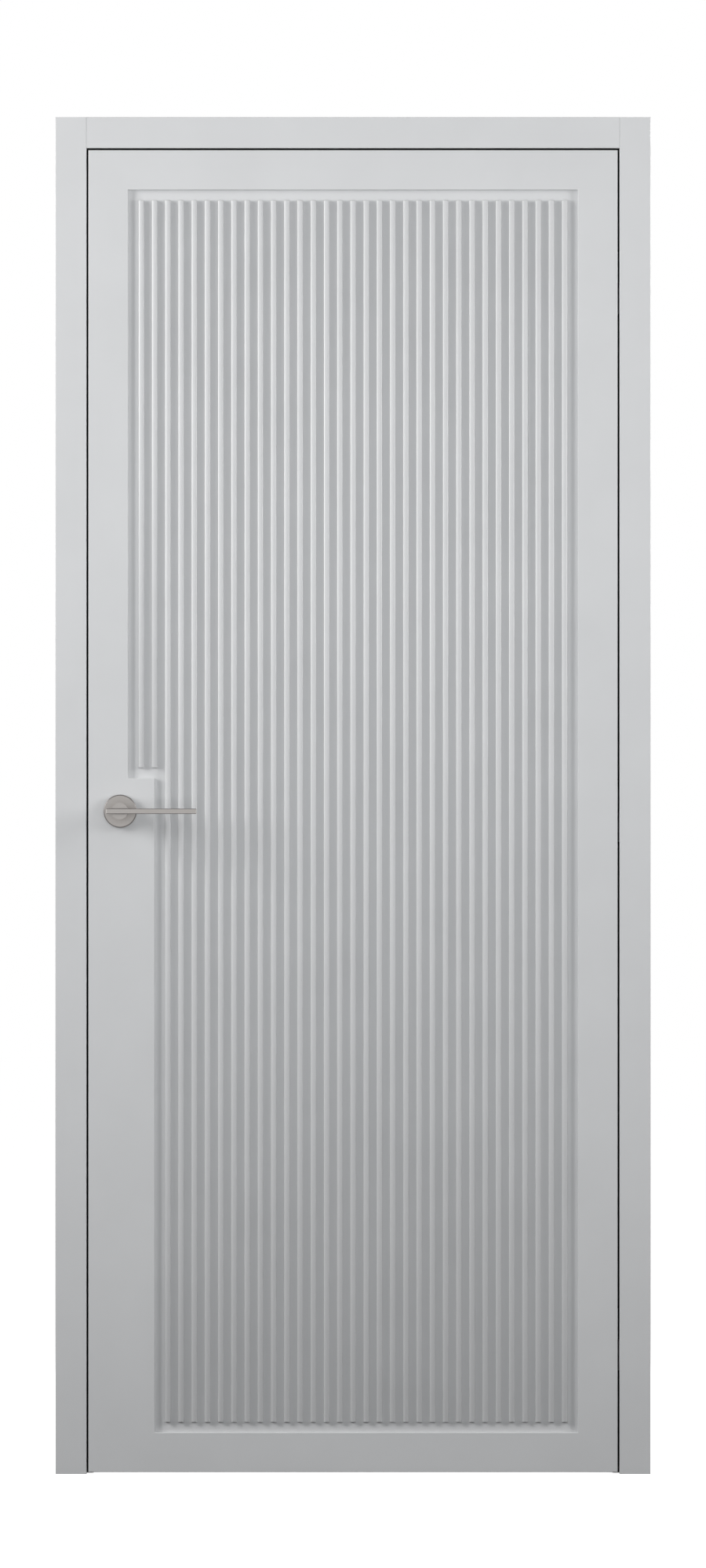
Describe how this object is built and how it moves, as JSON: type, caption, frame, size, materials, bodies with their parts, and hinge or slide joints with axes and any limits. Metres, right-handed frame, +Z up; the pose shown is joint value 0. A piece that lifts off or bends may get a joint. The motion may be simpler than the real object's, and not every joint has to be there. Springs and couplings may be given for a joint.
{
  "type": "interior door",
  "caption": "Interior door in its frame: a flush leaf with a recessed ribbed panel and slim lever handles, hung on concealed hinges behind flat casings.",
  "frame": {"origin": "on the wall face of the hinge jamb, at floor level and halfway through the wall", "axes": "+X from the doorway into the wall on the hinge side, +Y through the doorway away from the side the leaf opens to, +Z up"},
  "size_m": [0.9, 0.1553, 2.053],
  "materials": {
    "enamel": "smooth light grey satin enamel",
    "core_board": "plain",
    "seal_rubber": "matte black",
    "satin_nickel": "satin nickel",
    "latch_steel": "satin",
    "hinge_metal": "satin"
  },
  "bodies": {
    "frame": {"hinge_jamb": "enamel", "lock_jamb": "enamel", "head_jamb": "enamel", "front_casing_hinge_side": "enamel", "front_casing_lock_side": "enamel", "front_casing_head": "enamel", "back_casing_hinge_side": "enamel", "back_casing_lock_side": "enamel", "back_casing_head": "enamel", "hinge_side_seal": "seal_rubber", "lock_side_seal": "seal_rubber", "head_seal": "seal_rubber", "strike_plate": "latch_steel", "strike_box": "latch_steel", "frame_hinge_cups": "hinge_metal"},
    "leaf": {"front_skin": "enamel", "back_skin": "enamel", "front_ribs_over_lock": "enamel", "front_ribs": "enamel", "back_ribs_over_lock": "enamel", "back_ribs": "enamel", "hinge_stile": "enamel", "lock_stile": "enamel", "bottom_rail": "enamel", "top_rail": "enamel", "core_panel": "core_board", "front_rosette": "satin_nickel", "back_rosette": "satin_nickel", "latch_faceplate": "latch_steel", "latch_case": "latch_steel", "latch_bolt": "latch_steel", "leaf_hinge_cups": "hinge_metal"},
    "levers": {"front_lever": "satin_nickel", "back_lever": "satin_nickel", "spindle": "latch_steel"},
    "frame_arms": {"frame_hinge_arms": "hinge_metal"},
    "leaf_arms": {"leaf_hinge_arms": "hinge_metal"}
  },
  "joints": [
    {"name": "leaf_swing", "type": "hinge", "parent": "frame", "child": "leaf", "pos_m": [-0.0415, -0.051, 0], "axis": [0, 0, 1], "range_deg": [0, 100]},
    {"name": "lever_turn", "type": "hinge", "parent": "leaf", "child": "levers", "pos_m": [-0.795, -0.058, 1.003], "axis": [0, 1, 0], "range_deg": [0, 45], "stiffness_Nm_per_rad": 1, "springref_deg": -22.92},
    {"name": "frame_arm_swing", "type": "hinge", "parent": "frame", "child": "frame_arms", "pos_m": [-0.0383, -0.03758, 0], "axis": [0, 0, 1], "range_deg": [0, 100]},
    {"name": "leaf_arm_swing", "type": "hinge", "parent": "leaf", "child": "leaf_arms", "pos_m": [-0.0447, -0.03758, 0], "axis": [0, 0, 1], "range_deg": [-100, 0]}
  ],
  "couplings": [
    {"joint": "frame_arm_swing", "follows": "leaf_swing", "ratio": 1},
    {"joint": "leaf_arm_swing", "follows": "leaf_swing", "ratio": -1}
  ]
}
